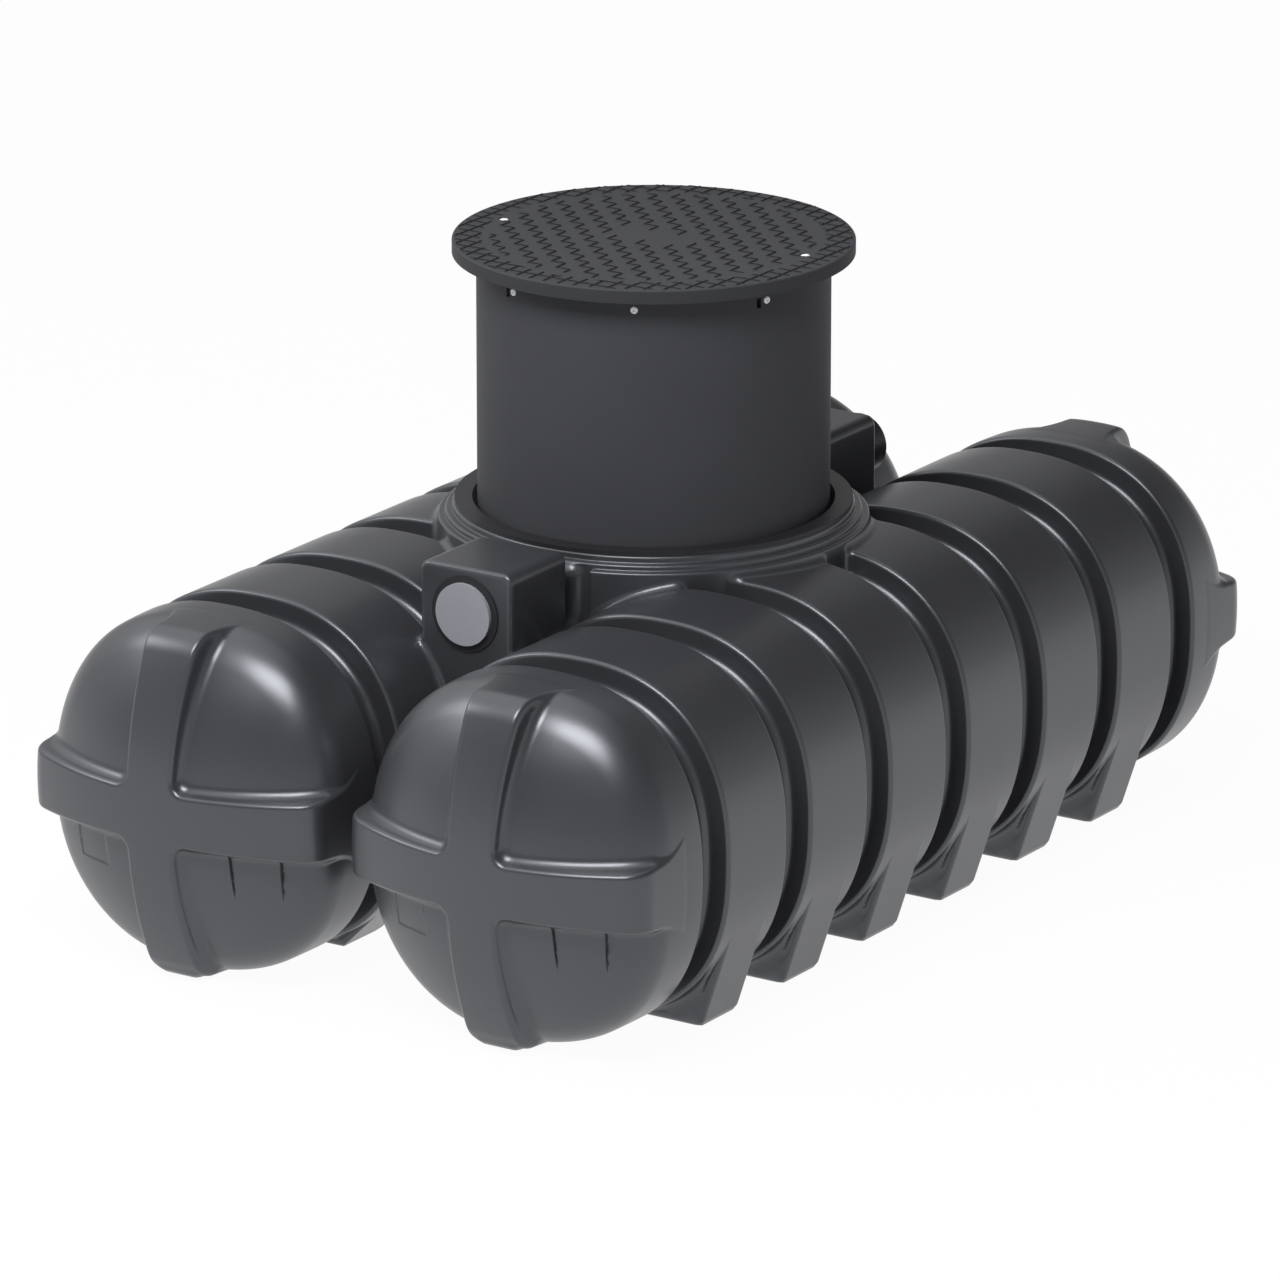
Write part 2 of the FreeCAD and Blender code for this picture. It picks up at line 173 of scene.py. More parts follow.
def background_ray(nodes, links):
    """One for rays that see the white background, nought for rays that light the object."""
    path = nodes.new("ShaderNodeLightPath")
    seen = path.outputs["Is Camera Ray"]
    for kind in ("Is Glossy Ray", "Is Transmission Ray"):
        either = nodes.new("ShaderNodeMath")
        either.operation = "MAXIMUM"
        links.new(seen, either.inputs[0])
        links.new(path.outputs[kind], either.inputs[1])
        seen = either.outputs[0]
    return seen


def add_world():
    """Studio round the object, which lights it and shows in its gloss."""
    world = bpy.data.worlds.new("studio")
    SCENE.world = world
    world.use_nodes = True
    nodes, links = world.node_tree.nodes, world.node_tree.links
    nodes.clear()
    out = nodes.new("ShaderNodeOutputWorld")
    light = nodes.new("ShaderNodeBackground")
    light.inputs["Color"].default_value = (1, 1, 1, 1)
    where = nodes.new("ShaderNodeTexCoord").outputs["Generated"]

    def level(aim, start, stop, low, high):
        """Level that changes softly with how far a direction leans towards an aim."""
        lean = nodes.new("ShaderNodeVectorMath")
        lean.operation = "DOT_PRODUCT"
        links.new(where, lean.inputs[0])
        lean.inputs[1].default_value = aim
        soft = nodes.new("ShaderNodeMapRange")
        soft.interpolation_type = "SMOOTHSTEP"
        for socket, value in (("From Min", start), ("From Max", stop), ("To Min", low), ("To Max", high)):
            soft.inputs[socket].default_value = value
        links.new(lean.outputs["Value"], soft.inputs["Value"])
        return soft.outputs["Result"]

    both = nodes.new("ShaderNodeMath")
    both.operation = "ADD"
    links.new(level((0, 0, 1), 0.0, CEILING_START, HORIZON_LEVEL, CEILING_LEVEL), both.inputs[0])
    links.new(level(GLOW_AIM, GLOW_START, 1.0, 0.0, GLOW_LEVEL), both.inputs[1])
    links.new(both.outputs[0], light.inputs["Strength"])
    links.new(light.outputs[0], out.inputs["Surface"])


def add_floor():
    """Pale floor that shows white and keeps a little of the object's shadow."""
    mesh = bpy.data.meshes.new("floor")
    half = FLOOR_SIZE / 2
    corners = [(-half, -half, 0), (half, -half, 0), (half, half, 0), (-half, half, 0)]
    mesh.from_pydata(corners, [], [(0, 1, 2, 3)])
    floor = bpy.data.objects.new("floor", mesh)
    SCENE.collection.objects.link(floor)
    floor.location.z = -FLOOR_DROP
    material, nodes, links = new_material("pale_floor")
    out = nodes.new("ShaderNodeOutputMaterial")
    matte = nodes.new("ShaderNodeBsdfDiffuse")
    matte.inputs["Color"].default_value = FLOOR_COLOUR
    glow = nodes.new("ShaderNodeEmission")
    glow.inputs["Strength"].default_value = 1.0
    mix = nodes.new("ShaderNodeMixShader")
    share = nodes.new("ShaderNodeMath")
    share.operation = "MULTIPLY"
    share.inputs[1].default_value = 1.0 - FLOOR_SHADE
    links.new(background_ray(nodes, links), share.inputs[0])
    links.new(share.outputs[0], mix.inputs[0])
    links.new(matte.outputs[0], mix.inputs[1])
    links.new(glow.outputs[0], mix.inputs[2])
    links.new(mix.outputs[0], out.inputs["Surface"])
    mesh.materials.append(material)


def add_softbox(name, place, target, size, power):
    """Rectangular lamp aimed at a target."""
    lamp = bpy.data.lights.new(name, "AREA")
    lamp.shape = "RECTANGLE"
    lamp.size, lamp.size_y = size
    lamp.energy = power
    box = bpy.data.objects.new(name, lamp)
    box.location = place
    aim = Vector(target) - Vector(place)
    box.rotation_euler = aim.to_track_quat("-Z", "Y").to_euler()
    SCENE.collection.objects.link(box)


def plastic(name, colour, roughness, gloss=0.5, grain=0.25, wave=0.5, tint=0.10, heights=None):
    """Moulded plastic: slight cloudiness, a fine grain and the soft waviness of a moulded wall.

    The heights, if there are any, paint shade into the colour: how much of it is left at each height of the
    piece.
    """
    material, nodes, links = new_material(name)
    out = nodes.new("ShaderNodeOutputMaterial")
    skin = nodes.new("ShaderNodeBsdfPrincipled")
    links.new(skin.outputs[0], out.inputs["Surface"])
    skin.inputs["Specular IOR Level"].default_value = gloss
    skin.inputs["Specular Tint"].default_value = GLOSS_TINT
    where = nodes.new("ShaderNodeTexCoord").outputs["Object"]

    def noise(scale, detail):
        node = nodes.new("ShaderNodeTexNoise")
        node.inputs["Scale"].default_value = scale
        node.inputs["Detail"].default_value = detail
        links.new(where, node.inputs["Vector"])
        return node.outputs["Fac"]

    def span(value, low, high):
        node = nodes.new("ShaderNodeMapRange")
        node.inputs["From Min"].default_value = NOISE_SPAN[0]
        node.inputs["From Max"].default_value = NOISE_SPAN[1]
        node.inputs["To Min"].default_value = low
        node.inputs["To Max"].default_value = high
        links.new(value, node.inputs["Value"])
        return node.outputs["Result"]

    cloud = noise(CLOUD_SCALE, 4.0)
    fine = noise(GRAIN_SCALE, 2.0)
    swell = noise(SWELL_SCALE, 1.0)
    mix = nodes.new("ShaderNodeMix")
    mix.data_type = "RGBA"
    mix.inputs["A"].default_value = [c * (1 - tint) for c in colour] + [1]
    mix.inputs["B"].default_value = [c * (1 + tint) for c in colour] + [1]
    links.new(cloud, mix.inputs["Factor"])
    shade = mix.outputs["Result"]
    # Painted shade: the colour is darkened by height, with the given share of it left at each height
    if heights:
        low, high = heights[0][0], heights[-1][0]
        parts = nodes.new("ShaderNodeSeparateXYZ")
        links.new(where, parts.inputs[0])
        rise = nodes.new("ShaderNodeMapRange")
        rise.inputs["From Min"].default_value = low
        rise.inputs["From Max"].default_value = high
        links.new(parts.outputs["Z"], rise.inputs["Value"])
        ramp = nodes.new("ShaderNodeValToRGB")
        for height, _ in heights[1:-1]:
            ramp.color_ramp.elements.new((height - low) / (high - low))
        for element, (_, share) in zip(ramp.color_ramp.elements, heights):
            element.color = (share, share, share, 1)
        links.new(rise.outputs["Result"], ramp.inputs[0])
        painted_shade = nodes.new("ShaderNodeMix")
        painted_shade.data_type = "RGBA"
        painted_shade.blend_type = "MULTIPLY"
        painted_shade.inputs["Factor"].default_value = 1
        links.new(shade, painted_shade.inputs["A"])
        links.new(ramp.outputs["Color"], painted_shade.inputs["B"])
        shade = painted_shade.outputs["Result"]
    links.new(shade, skin.inputs["Base Color"])
    uneven = span(cloud, roughness - ROUGHNESS_SPREAD, roughness + ROUGHNESS_SPREAD)
    links.new(uneven, skin.inputs["Roughness"])
    soft = nodes.new("ShaderNodeBump")
    soft.inputs["Strength"].default_value = wave
    soft.inputs["Distance"].default_value = SWELL_HEIGHT
    links.new(swell, soft.inputs["Height"])
    rough = nodes.new("ShaderNodeBump")
    rough.inputs["Strength"].default_value = grain
    rough.inputs["Distance"].default_value = GRAIN_HEIGHT
    links.new(fine, rough.inputs["Height"])
    links.new(soft.outputs[0], rough.inputs["Normal"])
    links.new(rough.outputs[0], skin.inputs["Normal"])
    return material


MATERIALS = {
    "tank_plastic": plastic("tank_skin", (0.0335, 0.0343, 0.0382), 0.32, gloss=0.95, wave=0.15),
    "shaft_plastic": plastic("shaft_skin", (0.054, 0.055, 0.061), 0.60, gloss=0.08, wave=0.1),
    # The cover's colour carries painted shade: darker on the skirt and darkest on the tread's raised lines
    "cover_plastic": plastic("cover_skin", (0.052, 0.053, 0.058), 0.60, gloss=0.12, grain=0.5, wave=0.1,
                             heights=COVER_PAINTED_SHADE),
    "seal_rubber": plastic("seal_skin", (0.016, 0.016, 0.0176), 0.50),
    "plug_plastic": plastic("plug_skin", (0.29, 0.295, 0.326), 0.45, wave=0.1),
    "pipe_plastic": plastic("pipe_skin", (0.012, 0.012, 0.0132), 0.35, wave=0.1),
    "screw_white": plastic("screw_skin", (0.90, 0.90, 0.92), 0.40, wave=0.1),
}


def paint_nodes():
    """Gives every node of the frame the material of its slot."""
    for part in frame["record"]["subparts"]:
        mesh = NODES[part["node"]].data
        mesh.materials.clear()
        mesh.materials.append(MATERIALS[part["material_slot"]])


def oval_distance(u, w, side_inset, crown_inset):
    """Distance from a barrel's oval drawn inwards by insets; u across and w up from its axis."""
    wide, high = HALF_WIDTH - side_inset, HALF_HEIGHT - crown_inset
    p, q = np.abs(u) / wide + 1e-6, np.abs(w) / high + 1e-6
    p_slope, q_slope = p ** (OVAL_POWER - 1), q ** (OVAL_POWER - 1)
    size = (p * p_slope + q * q_slope) ** (1 / OVAL_POWER)
    return (size - 1) * size ** (OVAL_POWER - 1) / np.hypot(p_slope / wide, q_slope / high)


def rounded_edge(a, b, cosine, radius):
    """Common part of two forms with a rounded edge; the cosine is between their faces' normals."""
    p, q = a + radius, b + radius
    spread = np.maximum(1 - cosine * cosine, LEAST_SPREAD)
    reach = np.sqrt(np.maximum(p * p + q * q - 2 * p * q * cosine, 0) / spread) - radius
    return np.where((p > q * cosine) & (q > p * cosine), reach, np.maximum(a, b))


def filleted(a, b, radius):
    """Two forms joined with a hollow fillet between them."""
    return -rounded_edge(-a, -b, 0.0, radius)


def blunt_form(u, w, v, start, depth, ball, edge, side_taper, crown_taper, sag):
    """Blunt domed end: tapering oval, spherical front and a rounding between; v out from the rim."""
    share = np.clip((v - start) / (depth - start), 0, 1.2) ** TAPER_POWER
    low = w + sag * share
    side = oval_distance(u, low, side_taper * share, crown_taper * share)
    ahead = v - (depth - ball)
    fall = w + sag
    reach = np.sqrt(u * u + fall * fall + ahead * ahead)
    flat = np.maximum(np.hypot(u, low), 1e-6)
    cosine = (u * u + low * fall) / (flat * reach)
    return rounded_edge(side, reach - ball, cosine, edge)


def cross_distance(p):
    """Distance from the form that the arms of the cross lie on."""
    return blunt_form(p[..., 0], p[..., 1], p[..., 2], **CROSS_FORM)


def arm_half(v):
    """Half width of an arm, which flares towards the rim."""
    return ARM_HALF + ARM_FLARE * (1 - v / ARM_FLARE_LENGTH)


def dome_distance(p):
    """Distance from a barrel's end: panels with slits and a shallow field, raised cross and toe."""
    u, w, v = p[..., 0], p[..., 1], p[..., 2]
    panel = blunt_form(u, w, v, **PANEL_FORM)
    for reach, tip in SLITS:
        run = np.clip((-ARM_HALF - w) / SLIT_LENGTH, 0, 1)
        mask = np.abs(u - reach - (tip - reach) * run) - SLIT_HALF * (1 - run)
        sunk = np.clip(0.3 - mask / SLIT_SOFT, 0, 1) * np.clip(6 - 6 * run, 0, 1)
        panel = panel + SLIT_DEPTH * sunk * (w < 0)
    beside = np.maximum(FIELD[0] - u, u - FIELD[1])
    mask = np.maximum(beside, np.maximum(w + ARM_HALF, -ARM_HALF - FIELD_HEIGHT - w))
    panel = panel + FIELD_DEPTH * np.clip(0.5 - mask / FIELD_SOFT, 0, 1)
    half = arm_half(v) + ARM_HOOK * np.maximum(ARM_HOOK_START - v, 0) ** 2
    mask = filleted(np.abs(u) - half, np.abs(w) - half, ARM_CORNER)
    sunk = np.clip(1.5 - v / ARM_SINK_START, 0, 1)
    cross = cross_distance(p) + ARM_SINK * sunk * sunk * (3 - 2 * sunk)
    arms = rounded_edge(cross, mask, 0.0, ARM_EDGE)
    body = filleted(panel, arms, np.clip(panel - cross, LEAST_FILLET, ARM_FOOT))
    corner = [np.abs(u) - ARM_HALF, v - TOE_FRONT, -HALF_HEIGHT - w]
    rounded = np.sqrt(sum(np.maximum(c + TOE_EDGE, 0) ** 2 for c in corner)) - TOE_EDGE
    toe = np.maximum(rounded, w)
    return filleted(body, toe, np.clip(body - corner[2], LEAST_FILLET, TOE_FOOT))


def halve(like, limit, outside):
    """Where a form ends between nought and a limit, for each value of an array."""
    near, far = np.zeros_like(like), np.full_like(like, limit)
    for _ in range(HALVINGS):
        middle = (near + far) / 2
        beyond = outside(middle)
        near, far = np.where(beyond, near, middle), np.where(beyond, middle, far)
    return far


def cast(start, aims, distance):
    """Where rays from a point inside a form leave it."""
    rays = aims - start
    rays = rays / np.linalg.norm(rays, axis=-1, keepdims=True)
    far = halve(rays[..., 0], RAY_REACH, lambda at: distance(start + rays * at[..., None]) > 0)
    return start + rays * far[..., None]


def slopes(points, distance, step=0.4):
    """Outward normals of a form from its distance field."""
    normals = np.zeros_like(points)
    for axis in range(3):
        shift = np.zeros(3)
        shift[axis] = step
        normals[..., axis] = distance(points + shift) - distance(points - shift)
    return normals / np.maximum(np.linalg.norm(normals, axis=-1, keepdims=True), 1e-9)


def rim_height(u):
    """Height of the oval above the barrel's axis at a distance u from it."""
    return halve(u, HALF_HEIGHT + 1, lambda w: oval_distance(u, w, 0.0, 0.0) > 0)


def rim_width(w):
    """Half width of the oval at a height w from its axis."""
    return halve(w, HALF_WIDTH + 1, lambda u: oval_distance(u, w, 0.0, 0.0) > 0)


def meridian(upright, extra=()):
    """Distances from the axis, depths and shares of the way along the middle of an arm, out to the rim."""
    turn = np.linspace(*ARM_SWEEP, SWEEP_COUNT)
    aims = np.zeros((turn.size, 3))
    aims[:, 1 if upright else 0] = np.sin(turn)
    aims[:, 2] = RAY_START + np.cos(turn)
    hits = cast(np.array([0, 0, RAY_START]), aims, cross_distance)
    out, v = hits[:, 1 if upright else 0], hits[:, 2]
    length = np.concatenate([[0], np.cumsum(np.hypot(np.diff(out), np.diff(v)))])
    start = np.interp(0, out - ARM_LINES[-1] * arm_half(v) / ARM_HALF, length)
    end = np.interp(-EDGE_V, -v, length)
    marks = set(np.linspace(start, end, MARK_COUNT)[1:].round(3))
    for low, high, step in extra:
        at = np.interp([low, high], out, length)
        marks |= set(np.arange(at[0], at[1], step).round(3))
    marks = np.array(sorted(marks))
    keep = np.concatenate([[True], np.diff(marks) > MARK_GAP])
    keep[-1] = True
    marks = marks[keep]
    return np.interp(marks, length, out), np.interp(marks, length, v), (marks - start) / (end - start)


def dome_aims():
    """Points that rays aim at: lines along the arms of the cross, evened out over the panels."""
    right, left = meridian(False, RIGHT_MARKS), meridian(False, LEFT_MARKS)
    top, bottom = meridian(True), meridian(True, BOTTOM_MARKS)
    arm = np.concatenate([-ARM_LINES[:0:-1], ARM_LINES])
    first_i, first_j = left[0].size, bottom[0].size
    after_i, after_j = first_i + arm.size, first_j + arm.size
    count_i, count_j = after_i + right[0].size, after_j + top[0].size
    aims = np.zeros((count_i, count_j, 3))
    mid_i, mid_j = slice(first_i, after_i), slice(first_j, after_j)
    front = CROSS_FORM["depth"]
    wide = arm * arm_half(front) / ARM_HALF
    aims[mid_i, mid_j] = np.stack(np.broadcast_arrays(wide[:, None], wide[None, :], front), -1)
    up, down = range(after_j, count_j), range(first_j - 1, -1, -1)
    for sign, (out, v, run), columns in ((1, top, up), (-1, bottom, down)):
        for j, far, depth, share in zip(columns, out, v, run):
            u = arm * arm_half(depth) / ARM_HALF
            high = far * (1 - (1 - rim_height(u) / HALF_HEIGHT) * share)
            aims[mid_i, j] = np.stack([u, sign * high, np.full_like(u, depth)], -1)
    onwards, backwards = range(after_i, count_i), range(first_i - 1, -1, -1)
    for sign, (out, v, run), rows in ((1, right, onwards), (-1, left, backwards)):
        for i, far, depth, share in zip(rows, out, v, run):
            w = arm * arm_half(depth) / ARM_HALF
            aside = far * (1 - (1 - rim_width(w) / HALF_WIDTH) * share)
            aims[i, mid_j] = np.stack([sign * aside, w, np.full_like(w, depth)], -1)
    last_i, last_j = after_i - 1, after_j - 1
    corners = (
        (np.arange(last_i, count_i), np.arange(last_j, count_j), right, top),
        (np.arange(first_i, -1, -1), np.arange(last_j, count_j), left, top),
        (np.arange(last_i, count_i), np.arange(first_j, -1, -1), right, bottom),
        (np.arange(first_i, -1, -1), np.arange(first_j, -1, -1), left, bottom),
    )
    for rows, columns, beside, above in corners:
        fill_corner(aims, rows, columns, np.concatenate([[0], beside[2]]), np.concatenate([[0], above[2]]))
    return aims


def fill_corner(aims, rows, columns, s, t):
    """Evens out one panel's grid between two arms and the rim."""
    base = aims[rows, columns[0]]
    side = aims[rows[0], columns]
    start = math.atan2(abs(base[-1, 1]), abs(base[-1, 0]))
    stop = math.atan2(abs(side[-1, 1]), abs(side[-1, 0]))
    sense = np.sign([base[-1, 0], side[-1, 1]])
    middle = (start + stop) / 2

    def rim(turn):
        cosine, sine = np.cos(turn), np.sin(turn)
        far = halve(turn, RAY_REACH, lambda at: oval_distance(at * cosine, at * sine, 0.0, 0.0) > 0)
        return np.stack([sense[0] * far * cosine, sense[1] * far * sine, np.full_like(turn, EDGE_V)], -1)

    over = rim(stop + (middle - stop) * s)
    beyond = rim(start + (middle - start) * t)
    s, t = s[:, None, None], t[None, :, None]
    patch = (1 - t) * base[:, None] + t * over[:, None] + (1 - s) * side[None] + s * beyond[None]
    patch -= (1 - s) * (1 - t) * base[0] + s * (1 - t) * base[-1]
    patch -= (1 - s) * t * side[-1] + s * t * over[-1]
    aims[np.ix_(rows, columns)] = patch


def rim_rows(loop):
    """Rounded edge, back wall and hollow fillet of the rim: its outline set in, down to the groove."""
    ahead = np.roll(loop, -1, 0) - np.roll(loop, 1, 0)
    out = np.stack([ahead[:, 1], -ahead[:, 0]], -1)
    out /= np.linalg.norm(out, axis=1, keepdims=True)
    rows, normals = [], []
    for turn in ARC[1:]:
        rows.append((BAND_EDGE * (1 - math.cos(turn)), EDGE_V - BAND_EDGE * math.sin(turn)))
        normals.append((math.cos(turn), -math.sin(turn)))
    for turn in ARC:
        inset = GROOVE_DEPTH - GROOVE_EDGE * (1 - math.sin(turn))
        rows.append((inset, -GROOVE_EDGE * (1 - math.cos(turn))))
        normals.append((math.sin(turn), -math.cos(turn)))
    rows[-1] = (GROOVE_DEPTH + RIM_LAP, rows[-1][1])
    points, slants = [], []
    for (inset, v), (side, back) in zip(rows, normals):
        points.append(np.column_stack([loop[:, :2] - out * inset, np.full(len(loop), v)]))
        slants.append(np.column_stack([out * side, np.full(len(loop), back)]))
    return np.array(points), np.array(slants)


def grid_faces(rows, columns, closed=False):
    """Faces of a grid of points; a closed one joins its last column to its first."""
    index = np.arange(rows * columns).reshape(rows, columns)
    after = np.roll(index, -1, 1)
    faces = np.stack([index[:-1], index[1:], after[1:], after[:-1]], -1)
    return (faces if closed else faces[:, :-1]).reshape(-1, 4)


def wall_faces(loop, start, rows):
    """Faces of a wall that hangs from a closed loop of points, its own rows numbered from a start."""
    index = np.concatenate([loop[None], start + np.arange(rows * loop.size).reshape(rows, -1)])
    return index.reshape(-1)[grid_faces(*index.shape, closed=True)]


def dome_grid():
    """Points, normals and faces of one end, u across, w up, v outwards, in millimetres."""
    aims = dome_aims()
    skin = cast(np.array([0, 0, RAY_START]), aims, dome_distance)
    for edge in (np.s_[0, :], np.s_[-1, :], np.s_[:, 0], np.s_[:, -1]):
        skin[edge] = aims[edge]
    points, normals = skin.reshape(-1, 3), slopes(skin, dome_distance).reshape(-1, 3)
    index = np.arange(len(points)).reshape(skin.shape[:2])
    ring = np.concatenate([index[:, 0], index[-1, 1:], index[-2::-1, -1], index[0, -2:0:-1]])
    rows, row_normals = rim_rows(points[ring])
    wall = wall_faces(ring, len(points), len(rows))
    return (np.concatenate([points, rows.reshape(-1, 3)]),
            np.concatenate([normals, row_normals.reshape(-1, 3)]),
            np.concatenate([grid_faces(*skin.shape[:2]), wall]))


def add_mesh(name, points, faces, normals=None, body="tank", slot="tank_plastic", skin=None):
    """New smooth piece from points in millimetres, riding on a body."""
    mesh = bpy.data.meshes.new(name)
    mesh.from_pydata((points / 1000).tolist(), [], faces.tolist())
    mesh.polygons.foreach_set("use_smooth", [True] * len(mesh.polygons))
    mesh.update()
    if normals is not None:
        mesh.normals_split_custom_set_from_vertices(normals.tolist())
    mesh.materials.append(MATERIALS[skin or slot])
    piece = bpy.data.objects.new(name, mesh)
    SCENE.collection.objects.link(piece)
    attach(piece, body)
    return piece


def add_domes():
    """The four ends, each the same moulding turned towards the front or the rear."""
    points, normals, faces = dome_grid()
    for end, turn in (("front", 1), ("rear", -1)):
        for side, x in (("right", AXIS_X), ("left", -AXIS_X)):
            u, w, v = points.T
            at = np.column_stack([x + turn * u, -turn * (RIM_Y + v), AXIS_Z + w])
            lean = np.column_stack([turn * normals[:, 0], -turn * normals[:, 2], normals[:, 1]])
            piece = add_mesh("%s_%s_end" % (side, end), at, faces, lean)
            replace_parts(piece, "%s_%s_dome" % (side, end))


# Neck, pipe boxes and feet in millimetres, and the moulded fillets where they meet the barrels
NECK_STEPS = ((377.0, 642.0), (364.0, 652.0), (351.0, 664.0))
NECK_EDGE = 4.0
NECK_CORNER = 2.5
NECK_LOW = 470.0
NECK_ROW = 5.0
RIM_WALL = 12.0
NECK_BORE = ((320.0, 664.0), (320.0, 652.0), (343.0, 652.0), (343.0, 644.0), (356.0, 644.0))
SHOULDER_GAP = 101.0
SHOULDER_EDGE = 9.0
BOX_HALF = 94.0
BOX_FRONT = -583.0
BOX_BACK = -413.0
BOX_TOP = 687.0
BOX_SIDE_EDGE = 18.0
BOX_EDGE = 8.0
BRIDGE_HALF = 72.0
BRIDGE_TOP = 636.0
BRIDGE_END = -366.0
INLET_HEIGHT = 606.0
OUTLET_HEIGHT = 597.0
PIPE_HOLE = 61.0
HOLE_SNAP = 7.0
FOOT_HALF = 58.0
FOOT_SOLES = (118.0, 222.0)
FOOT_START = 50.0
FOOT_REACH = 24.0
FOOT_SWEEP = (-0.8, 0.0, 900)
FOOT_EDGE = 13.0
NECK_FILLET = 15.0
BOX_FILLET = 22.0
FOOT_FILLET = 18.0

# How rays find the skin of the body: where they start, how far past their aims they go, and their steps
WALL_REACH = 12.0
SKIN_START = 6.0
SKIN_REACH = 4.5
CORE = 24.0
NECK_CORE = (300.0, 600.0)
MARCH_ROUNDS = 90
MARCH_SHARE = 0.75
SETTLE_DEPTH = 6.0
RAY_SETTLES = 5
PLAIN_SETTLES = 6

# Grid lines on the body in millimetres: steps round a barrel, lines beside a foot's end and a box's edge
OUTLINE_COUNT = 7201
NECK_SIDE = 100.0
NECK_SIDE_STEP = 5.0
FOOT_BELOW = 180.0
FOOT_ASIDE = 30.0
FOOT_SIDE_STEP = 9.0
BARREL_STEP = 18.0
BAND_ROWS = np.arange(0, 37, 7.5)
FOOT_ROWS = np.array([-18, -15.5, -13, -10, -7, -4, -1.7, -0.2, 0.2, 1.6, 3.5, 6, 9, 12.5, 16, 19, 22.5])
BOX_ROWS = np.array([0, 1.2, 2.4, 3.8, 5.4, 7.4, 10, 13, 16.5, 21])
BOX_STEP = 6.5
GROOVE_ROW = 8.0
END_LAP = 1.0
BORE_ROWS = np.arange(638, NECK_LOW, -12.0)
NECK_TURN = 0.75
TURN_GAP = 0.4
SHOULDER_TURNS = np.arange(-2.4, 2.1, 0.2)


def oval_outline(turn):
    """Points of a barrel's oval and its outward normals."""
    cosine, sine = np.cos(turn), np.sin(turn)
    u = HALF_WIDTH * np.sign(cosine) * np.abs(cosine) ** (2 / OVAL_POWER)
    w = HALF_HEIGHT * np.sign(sine) * np.abs(sine) ** (2 / OVAL_POWER)
    lean = np.stack([np.sign(u) * np.abs(u / HALF_WIDTH) ** (OVAL_POWER - 1) / HALF_WIDTH,
                     np.sign(w) * np.abs(w / HALF_HEIGHT) ** (OVAL_POWER - 1) / HALF_HEIGHT], -1)
    return np.stack([u, w], -1), lean / np.linalg.norm(lean, axis=-1, keepdims=True)


def from_band(y):
    """Distance along a barrel from the middle of the nearest band."""
    return np.abs(y % BAND_PITCH - BAND_PITCH / 2)


def barrel_distance(u, w, y):
    """Distance from a barrel: its core at the depth of the grooves, with rounded bands around it."""
    skin = oval_distance(u, w, 0.0, 0.0)
    bands = rounded_edge(skin, from_band(y) - BAND_WIDTH / 2, 0.0, BAND_EDGE)
    return filleted(bands, skin + GROOVE_DEPTH, GROOVE_EDGE)


def foot_planes():
    """Outer face of each foot, from its sole's edge up to the band: normal, offset and top height."""
    points, normals = oval_outline(np.linspace(*FOOT_SWEEP))
    planes = []
    for sole in FOOT_SOLES:
        gap = np.sum(normals * (np.array([sole, -AXIS_Z]) - points), axis=1)
        touch = int(np.argmin(np.abs(gap)))
        planes.append((normals[touch], normals[touch] @ points[touch], AXIS_Z + points[touch, 1]))
    return planes


FOOT_PLANES = foot_planes()


def with_feet(barrel, u, y, z):
    """Barrel's distance with a band's two feet; fillets fade out towards outer faces and soles."""
    end = from_band(y) - FOOT_HALF
    for side, (normal, offset, top) in zip((-1, 1), FOOT_PLANES):
        face = normal[0] * side * u + normal[1] * (z - AXIS_Z) - offset
        limits = np.maximum(z - top, FOOT_START - side * u)
        core = np.maximum(np.maximum(end, face + FOOT_FILLET), np.maximum(FOOT_FILLET - z, limits))
        foot = rounded_edge(rounded_edge(end, -z, 0.0, FOOT_EDGE), face, -normal[1], FOOT_EDGE)
        barrel = np.minimum(filleted(barrel, core, FOOT_FILLET), np.maximum(foot, limits))
    return barrel


def neck_distance(x, y, z):
    """Distance from the neck, solid inside: a shoulder cut away beside the boxes, a collar and the rim."""
    reach = np.hypot(x, y)
    steps = [rounded_edge(reach - radius, z - top, 0.0, NECK_EDGE) for radius, top in NECK_STEPS]
    shoulder = rounded_edge(steps[0], SHOULDER_GAP - x, 0.0, SHOULDER_EDGE)
    return filleted(filleted(shoulder, steps[1], NECK_CORNER), steps[2], NECK_CORNER)


def box_distance(x, y, z):
    """Distance from the pipe box in front of the neck and the bridge between them."""
    box = rounded_edge(x - BOX_HALF, z - BOX_TOP, 0.0, BOX_SIDE_EDGE)
    middle, half = (BOX_FRONT + BOX_BACK) / 2, (BOX_BACK - BOX_FRONT) / 2
    box = rounded_edge(box, np.abs(y - middle) - half, 0.0, BOX_EDGE)
    bridge = np.maximum(rounded_edge(x - BRIDGE_HALF, z - BRIDGE_TOP, 0.0, BOX_EDGE), middle - y)
    return filleted(box, bridge, BOX_EDGE)


def middle_distance(p):
    """Distance from the neck and the boxes, down to the web in the valley."""
    x, y, z = np.abs(p[..., 0]), -np.abs(p[..., 1]), p[..., 2]
    return np.maximum(filleted(neck_distance(x, y, z), box_distance(x, y, z), BOX_FILLET), WEB_TOP - z)


def tank_distance(p):
    """Distance from the whole moulded body without its ends."""
    x, y, z = np.abs(p[..., 0]), -np.abs(p[..., 1]), p[..., 2]
    barrel = barrel_distance(x - AXIS_X, z - AXIS_Z, y)
    barrel = with_feet(barrel, x - AXIS_X, y, z)
    return filleted(barrel, middle_distance(p), NECK_FILLET)


def settle(points, rounds):
    """Points moved onto the surface of the body."""
    for _ in range(rounds):
        points = points - tank_distance(points)[..., None] * slopes(points, tank_distance)
    return points


